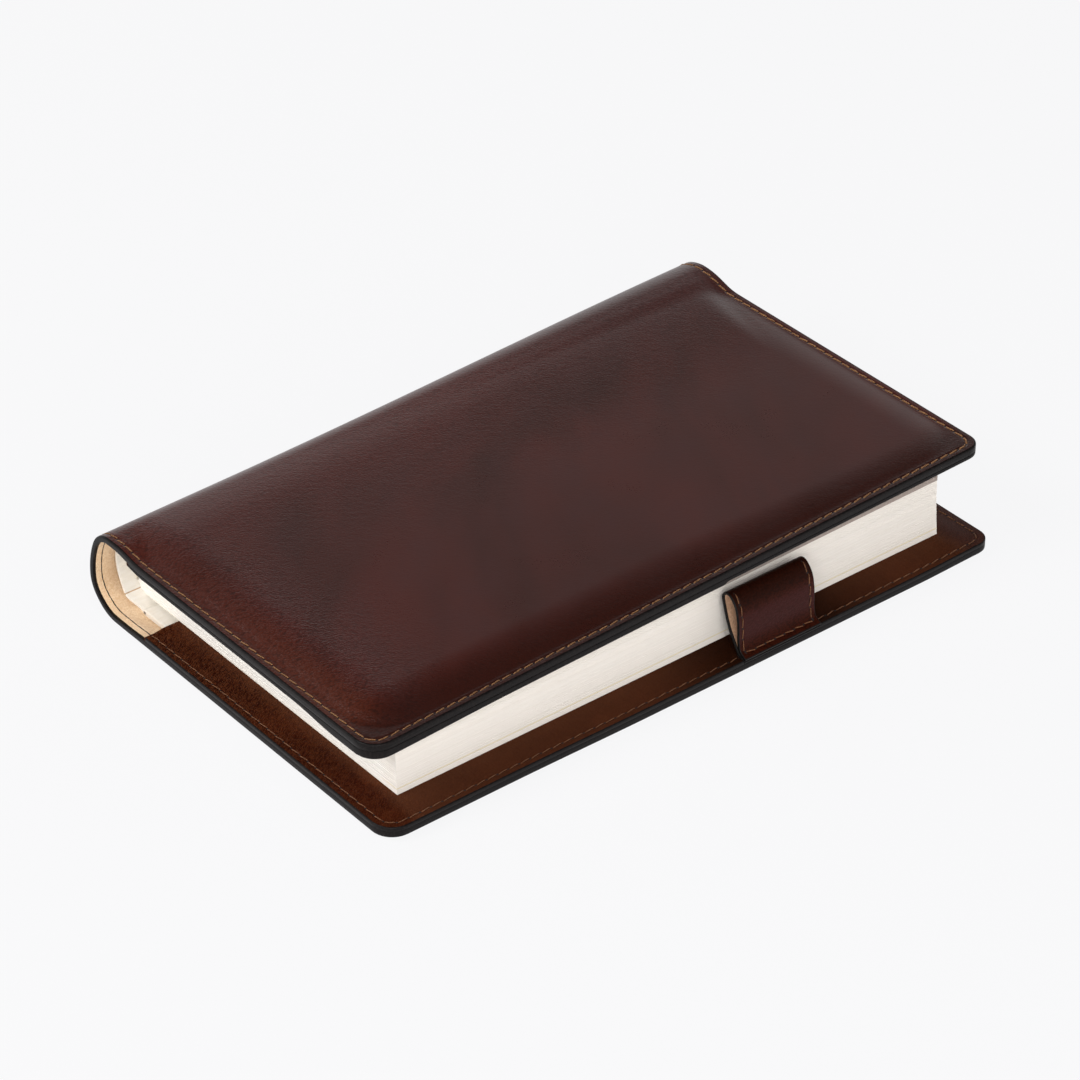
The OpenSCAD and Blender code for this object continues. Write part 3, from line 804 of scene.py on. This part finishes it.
def addPocket(name, place, mouth, fore, lines, steps, notch=None):
    crease = mouth + pockets["crease"]
    start, stop, side = mouth + pockets["round"], fore - pockets["round"], cover["half"] - pockets["round"]
    rows = denser(start, stop, [start, crease, fore - seams["inset"], stop], *pockets["steps"])
    cols = denser(-side, side, [-side, -seamLine, seamLine, side] + lines, *steps)

    def groove(x, y):
        pressed = np.exp(-((np.abs(x - crease) / pockets["creaseWidth"]) ** 2))
        return grooveBeside(seamDistance(fore - x, y)) - pockets["creaseDepth"] * pressed

    shape = {**cover, **pockets, "end": fore, "ends": (mouth + pockets["lip"], math.inf, 1, 0)}
    return thickSheet(name, place, rows, cols, shape, ["pocket", "edge", "suede"], groove, notch)


backPocket = addPocket(
    "back_pocket", onBackPocket, pockets["backOpen"], cover["foreBack"], list(pockets["notch"]),
    pockets["steps"], loopNotch,
)
frontPocket = addPocket(
    "front_pocket", onFrontPocket, pockets["frontOpen"], cover["foreFront"], [pockets["plyLine"]],
    pockets["frontSteps"],
)
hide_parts("back_flap")
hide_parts("front_flap")
for piece, body in ((backPocket, "back_cover"), (frontPocket, "front_cover")):
    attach(piece, body)
print("pockets made")


# Thread

frontThread = addSeam("front_thread", [edgeSeam(splitAt, pathLength)], onLeather, "thread", 11)
backThread = addSeam("back_thread", [edgeSeam(-splitAt, 0.0)], onBackLeather, "thread", 12)
wholeFront = edgeSeam(pockets["frontOpen"] + pockets["threadFrom"], cover["foreFront"])
frontInside = addSeam(
    "front_pocket_thread", [wholeFront], onFrontPocket, "dullThread", 13, radius=pockets["thread"]
)
wholeBack = edgeSeam(pockets["backOpen"] + pockets["threadFrom"], cover["foreBack"])
stops = [[(cover["foreBack"] - seams["inset"], stop)] for stop in pockets["notch"]]  # by the loop
tailPart = np.concatenate([wholeBack[wholeBack[:, 1] < 0], stops[0]])
headPart = np.concatenate([stops[1], wholeBack[wholeBack[:, 1] > 0]])
backInside = addSeam(
    "back_pocket_thread", [tailPart, headPart], onBackPocket, "dullThread", 14, radius=pockets["thread"]
)

underside = {"radius": 0.22, "hole": 0.0, "fill": 1.05, "dive": 0.03, "slant": 0.6, "sway": 0.5}
underAt = {"further": 0.6, "clear": 0.5}


def insideLeather(u, y, h):  # h inwards from the suede side
    return onLeather(u, y, -cover["thick"] - h)


def spineRows(first, last):
    inner = seamLine - underAt["further"]
    return [np.array([(first, s * inner), (last, s * inner)]) for s in (-1, 1)]


lowerFrom = cover["foreBack"] - pockets["backOpen"] + underAt["clear"]
upperTo = pathLength - (cover["foreFront"] - pockets["frontOpen"]) - underAt["clear"]
lowerUnder = addSeam(
    "lower_spine_thread", spineRows(lowerFrom, splitAt), insideLeather, "under", 15, **underside
)
upperUnder = addSeam(
    "upper_spine_thread", spineRows(splitAt, upperTo), insideLeather, "under", 16, **underside
)
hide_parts("front_seam")
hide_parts("back_seam", "spine_seam")
for piece in (frontThread, upperUnder):
    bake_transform(piece)
for piece in (backThread, lowerUnder):
    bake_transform(piece)
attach(frontInside, "front_cover")
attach(backInside, "back_cover")


# Pen loop: one strap folded over and sewn down at the fore-edge

loop = {
    "thick": 0.9, "round": 0.3, "half": 14.75, "middle": 29.65, "inset": 1.7, "foot": 2.0,
    "sags": (4.5, 5), "painted": (3.2, 4.2), "belowTop": 0.6, "aboveFoot": 0.5,
    "thread": {"radius": 0.17, "fill": 0.86}, "rows": (0.6, 0.9, 0.15), "cols": (1.2, 1.2, 0.15),
    "path": [
        (73.0, 5.2), (71.6, 5.85), (70.15, 7.0), (69.5, 9.6), (69.35, 13.6), (68.95, 17.1), (68.15, 20.1),
        (66.7, 22.2), (64.95, 23.5), (63.45, 23.3), (62.45, 22.3), (62.3, 21.1), (63.2, 18.0), (64.35, 14.6),
        (65.85, 11.2), (67.4, 8.8), (69.1, 6.3), (70.6, 5.0), (72.9, 4.35),
    ],
}


def curveThrough(points, count):  # even steps along a smooth curve, with its place and direction at each
    p = np.array(points, float)
    ends = np.concatenate([[2 * p[0] - p[1]], p, [2 * p[-1] - p[-2]]])
    t = np.linspace(0, 1, 24, endpoint=False)[:, None]
    out = []
    for a, b, c, d in zip(ends, ends[1:], ends[2:], ends[3:]):
        square = (2 * a - 5 * b + 4 * c - d) * t ** 2
        cube = (3 * b - a - 3 * c + d) * t ** 3
        out.append(0.5 * (2 * b + (c - a) * t + square + cube))
    out = np.concatenate(out + [p[-1:]])
    lengths = lengthsAlong(out)
    s = np.linspace(0, lengths[-1], count)
    curve = np.stack([np.interp(s, lengths, column) for column in out.T], -1)
    return s, np.concatenate([curve, unit(np.gradient(curve, s, axis=0))], 1)


def lookUp(s, steps, table):
    return [np.interp(s, steps, column) for column in table.T]


loopSteps, loopTable = curveThrough(loop["path"], 400)
loopLength = float(loopSteps[-1])


def onLoop(s, y, h):  # h over the strap's outer face
    x, z, tx, tz = lookUp(s, loopSteps, loopTable)
    out = h + loop["thick"] / 2
    x, y, z = x + tz * out, y + loop["middle"], z - tx * out
    z = z - drooping(cover["foreBack"] - x, y) * (1 - ease(z, *loop["sags"]))
    return np.stack([x, y, z], -1)


loopStop = loop["half"] - loop["round"]
loopSide = loop["half"] - loop["inset"]
loopSeamTop = float(loopSteps[np.argmax(loopTable[:, 1])]) - loop["belowTop"]


def loopGroove(s, y):
    foot = loop["foot"]
    down = np.abs(np.abs(y) - loopSide) + np.maximum(s - loopSeamTop, 0) + np.maximum(foot - s, 0)
    across = np.abs(s - foot) + np.maximum(np.abs(y) - loopSide, 0)
    return np.minimum(grooveBeside(down), grooveBeside(across))


loopFrom, loopTo = loop["round"], loopLength - loop["round"]
penLoop = thickSheet(
    "pen_loop_strap", onLoop, denser(loopFrom, loopTo, [loopFrom, loop["foot"], loopTo], *loop["rows"]),
    denser(-loopStop, loopStop, [-loopStop, -loopSide, loopSide, loopStop], *loop["cols"]),
    {**loop, "end": loopLength, "ends": (loop["painted"][0], loopLength - loop["painted"][1], 2, 1)},
    ["strap", "edge", "strapSuede"], loopGroove,
)
sideFrom = loop["foot"] + loop["aboveFoot"]
loopPaths = [np.array([(sideFrom, s * loopSide), (loopSeamTop, s * loopSide)]) for s in (-1, 1)]
loopPaths.append(np.array([(loop["foot"], -loopSide), (loop["foot"], loopSide)]))
loopThread = addSeam("pen_loop_thread", loopPaths, onLoop, "dullThread", 17, **loop["thread"])
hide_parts("pen_loop")
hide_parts("pen_loop_seam")
for piece in (penLoop, loopThread):
    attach(piece, "back_cover")
print("pen loop made")


# Refill

refill = {
    "pageHalf": 102.0, "spine": -65.115, "fore": 61.1, "base": 5.7, "height": 22.5,
    "hollow": 1.3, "tailHollow": 0.35, "hollowRise": 1.25, "belly": 0.75, "bellyHeight": 15.05,
    "leaves": 8, "leafGap": 0.012, "leafJog": 0.035, "leafBow": 0.03,
    "pageBase": 6.0, "section": 1.8, "sections": 12, "still": 8, "turnGap": 0.3, "close": 0.46, "end": 0.3,
}


def foreEdge(y, z):  # the cut edge is pressed in a little towards the head
    up = np.clip((z - refill["base"]) / refill["height"], 0, 1)
    least, half = refill["tailHollow"], refill["pageHalf"]
    hollow = refill["hollow"] * (least + (1 - least) * ease(y, -half, 2 * half))
    return refill["fore"] - hollow * np.sin(np.minimum(up * refill["hollowRise"], 1) * math.pi / 2)


def bellied(z):  # the still sections' backs are rounded, the turning ones clear them when open
    up = np.clip((z - refill["base"]) / refill["bellyHeight"], 0, 1)
    return refill["belly"] * np.sin(up * math.pi)


def leafBlock(name, z0, z1, leaves, finishName, seed):  # a section of folded leaves
    draw = np.random.default_rng(seed)
    gap = refill["leafGap"]
    levels, jogs = [], []
    for k in range(leaves):
        t0, t1 = k / leaves, (k + 1) / leaves
        shift = draw.normal(0, refill["leafJog"], 3)
        for t, bow in ((t0 + gap, 0.0), ((t0 + t1) / 2, refill["leafBow"]), (t1 - gap, 0.0)):
            levels.append(z0 + (z1 - z0) * t)
            jogs.append(shift + bow)
    levels[0], levels[-1] = z0, z1
    z = np.array(levels)
    jog, jogTail, jogHead = np.array(jogs).T
    xs = np.concatenate([np.linspace(0, 0.1, 6), np.linspace(0.1, 1, 18)[1:]])
    ys = np.linspace(-1, 1, 45)
    curl = (z1 - z0) / 2
    back = refill["spine"] - bellied(z) + curl - np.sqrt(np.maximum(curl ** 2 - (z - (z0 + z1) / 2) ** 2, 0))
    shell = np.ones((len(xs), len(ys), len(z)), bool)
    shell[1:-1, 1:-1, 1:-1] = False
    i, j, k = np.nonzero(shell)
    numbers = np.full(shell.shape, -1)
    numbers[shell] = np.arange(len(i))
    y = refill["pageHalf"] * ys[j]
    y = y + np.where(j == len(ys) - 1, jogHead[k], 0) - np.where(j == 0, jogTail[k], 0)
    fore = foreEdge(y, z[k]) + jog[k]
    points = np.stack([back[k] + (fore - back[k]) * xs[i], y, z[k]], -1)
    faces = []
    for axis in range(3):
        for end in (0, -1):
            faces += gridFaces(numbers.take(end, axis))
    return addPiece(name, fanned(points), faces, points, [finishName])


pageBase, sectionThick, turnGap = refill["pageBase"], refill["section"], refill["turnGap"]
for number in range(refill["sections"]):
    node = "section_%02d" % (number + 1)
    turned = number >= refill["still"]
    z0 = pageBase + number * sectionThick + (turnGap if turned else 0.0)
    z1 = z0 + sectionThick
    if number == refill["still"] - 1:  # the still and the turning leaves lie close together
        z1 += refill["close"] * turnGap
    if number == refill["still"]:
        z0 -= refill["close"] * turnGap
    section = leafBlock("pages_%02d" % (number + 1), z0, z1, refill["leaves"], "pages", 40 + number)
    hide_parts(node)
    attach(section, "leaves" if turned else "back_cover")
backEnd = leafBlock("back_endpaper_leaf", pageBase - refill["end"], pageBase, 1, "endpaper", 61)
topZ = pageBase + refill["sections"] * sectionThick + turnGap
frontEnd = leafBlock("front_endpaper_leaf", topZ, topZ + refill["end"], 1, "endpaper", 62)
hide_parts("back_endpaper")
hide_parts("front_endpaper")
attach(backEnd, "back_cover")
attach(frontEnd, "leaves")
print("pages made")

boards = {
    "thick": 2.0, "half": 105.8, "corner": (3.0, 3.0), "round": 0.25,
    "backTop": 4.35, "frontTop": 31.85, "back": (-57.6, 64.09), "front": (-59.79, 57.55),
    "steps": (6.0, 3.0, 0.5),
}


def addBoard(name, span, top, node, body):
    place = lambda x, y, h: wedged(np.stack([x, y, top + h], -1))
    rows = evenLines(boards, *span, boards["steps"])
    cols = evenLines(boards, -boards["half"], boards["half"], boards["steps"])
    piece = thickSheet(name, place, rows, cols, {**boards, "end": span[1]}, ["card"] * 3)
    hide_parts(node)
    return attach(piece, body)


addBoard("back_refill_board", boards["back"], boards["backTop"], "back_board", "back_cover")
addBoard("front_refill_board", boards["front"], boards["frontTop"], "front_board", "front_cover")

case = {
    "thick": 0.9, "half": 107.3, "round": 0.04, "split": 0.48, "taper": 1.5, "taperEnds": (2, 6),
    "rows": (0.6, 0.8, 0.3), "cols": (4.0, 2.0, 0.5),
    "path": [
        (-57.0, 2.7), (-58.6, 3.3), (-60.4, 3.9), (-62.1, 4.75), (-64.3, 5.85), (-65.1, 6.25),
        (-65.4, 6.62), (-66.5, 8.9), (-67.75, 12.0), (-68.7, 15.1), (-69.05, 18.8), (-68.8, 22.4),
        (-67.95, 25.2), (-66.3, 28.0), (-63.8, 30.1), (-60.2, 30.85),
    ],
}
caseSteps, caseTable = curveThrough(case["path"], 300)
caseLength = float(caseSteps[-1])
caseSplit = case["split"] * caseLength


def onCase(s, y, h):  # h out from the strip's outer face
    x, z, tx, tz = lookUp(s, caseSteps, caseTable)
    y = y * (1 - case["taper"] / case["half"] * (1 - ease(s, *case["taperEnds"])))
    return wedged(np.stack([x - tz * h, y, z + tx * h], -1))


def caseStrip(name, first, last):
    rows = evenLines(case, first, last, case["rows"])
    cols = evenLines(case, -case["half"], case["half"], case["cols"])
    piece = thickSheet(name, onCase, rows, cols, {**case, "end": last}, ["caseCard"] * 3)
    return piece


lowerCase = caseStrip("lower_case_strip", 0.0, caseSplit)
upperCase = caseStrip("upper_case_strip", caseSplit, caseLength)
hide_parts("spine_strip")
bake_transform(lowerCase)
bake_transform(upperCase)

lining = {
    "from": 5.9, "to": 20.2, "half": 102.45, "thick": 1.1, "round": 0.15,
    "clear": 0.12, "wave": 0.12, "step": 0.3, "colStep": 4.0,
}


def onLining(z, y, h):  # cloth glued to the sections' backs, a little hollow between them
    wave = lining["wave"] * np.abs(np.sin((z - pageBase) / sectionThick * math.pi))
    x = refill["spine"] - bellied(z) - lining["clear"] - wave - lining["thick"] - h
    return fanned(np.stack([x, y, z], -1))


liningIn = lining["half"] - lining["round"]
liningRows = spread(lining["from"] + lining["round"], lining["to"] - lining["round"], lining["step"])
spineCloth = thickSheet(
    "spine_cloth", onLining, liningRows, spread(-liningIn, liningIn, lining["colStep"]),
    {**lining, "end": lining["to"]}, ["lining", "lining", "suede"],
)
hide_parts("spine_lining")
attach(spineCloth, "back_cover")
print("refill made")


# Studio

studio = {
    "floor": 6.0, "shade": rgb(246, 246, 247), "plain": 0.93, "white": rgb(250, 250, 251),
    "camera": (0.7600, -0.61263, 0.68315), "lookAt": (-0.00491, 0.00141, 0.01131),
    "lens": 132.67, "sensor": 36.0,
    "sky": [  # brightness by sine of height
        (0.0, 0.95), (0.1, 1.0), (0.3, 0.95), (0.42, 0.55),
        (0.56, 0.25), (0.69, 0.1), (0.8, 0.04), (1.0, 0.04),
    ],
    "lamps": [  # name, place, size and power
        ("left_soft", (-0.35, -1.25, 1.15), 0.9, 15.5),
        ("right_soft", (1.25, -0.30, 1.30), 0.5, 5.0),
        ("low_fill", (1.10, -0.80, 0.55), 1.0, 7.5),
    ],
    "lampsAt": (0, 0, 0.02),
}


def emptied(block):  # a material or a world, without its first nodes
    block.use_nodes = True
    block.node_tree.nodes.clear()
    return Wire(block.node_tree)


def addFloor():
    size = studio["floor"]
    corners = [(-size, -size, 0), (size, -size, 0), (size, size, 0), (-size, size, 0)]
    mesh = bpy.data.meshes.new("floor")
    mesh.from_pydata(corners, [], [(0, 1, 2, 3)])
    finish = bpy.data.materials.new("pale_floor")
    wire = emptied(finish)
    matte = wire.node("BsdfDiffuse", {}, {"Color": studio["shade"]})
    glow = wire.node("Emission", {}, {"Color": studio["white"], "Strength": 1.0})
    seen, glossy, through = [wire.node("LightPath", out=k) for k in (0, 3, 6)]
    plain = seen.over(glossy).over(through) * studio["plain"]
    shown = wire.node("MixShader", {}, {0: plain, 1: matte, 2: glow})
    wire.plug(wire.tree.nodes.new("ShaderNodeOutputMaterial").inputs["Surface"], shown)
    mesh.materials.append(finish)
    floor = placed("floor", mesh)


def addSky():  # white at the horizon, darker overhead
    scene.world = bpy.data.worlds.new("studio_sky")
    wire = emptied(scene.world)
    height = wire.node("TexCoord", out=0).part(2)
    shade = wire.node("ValToRGB", {}, {0: height})
    stops = shade.socket.node.color_ramp.elements
    while len(stops) < len(studio["sky"]):
        stops.new(0.5)
    for stop, (place, level) in zip(stops, studio["sky"]):
        stop.position = place
        stop.color = (level, level, level, 1.0)
    soft = wire.node("Background", {}, {"Color": shade, "Strength": 1.0})
    wire.plug(wire.tree.nodes.new("ShaderNodeOutputWorld").inputs["Surface"], soft)


def aimed(obj, place, target):
    obj.location = place
    obj.rotation_euler = (Vector(target) - Vector(place)).to_track_quat("-Z", "Y").to_euler()


addFloor()
addSky()
for lampName, place, size, power in studio["lamps"]:
    lamp = bpy.data.lights.new(lampName, "AREA")
    lamp.shape, lamp.size, lamp.energy = "DISK", size, power
    aimed(placed(lampName, lamp), place, studio["lampsAt"])
cameraData = bpy.data.cameras.new("camera")
cameraData.lens, cameraData.sensor_width = studio["lens"], studio["sensor"]
camera = placed("camera", cameraData)
aimed(camera, studio["camera"], studio["lookAt"])
scene.camera = camera
print("studio made")
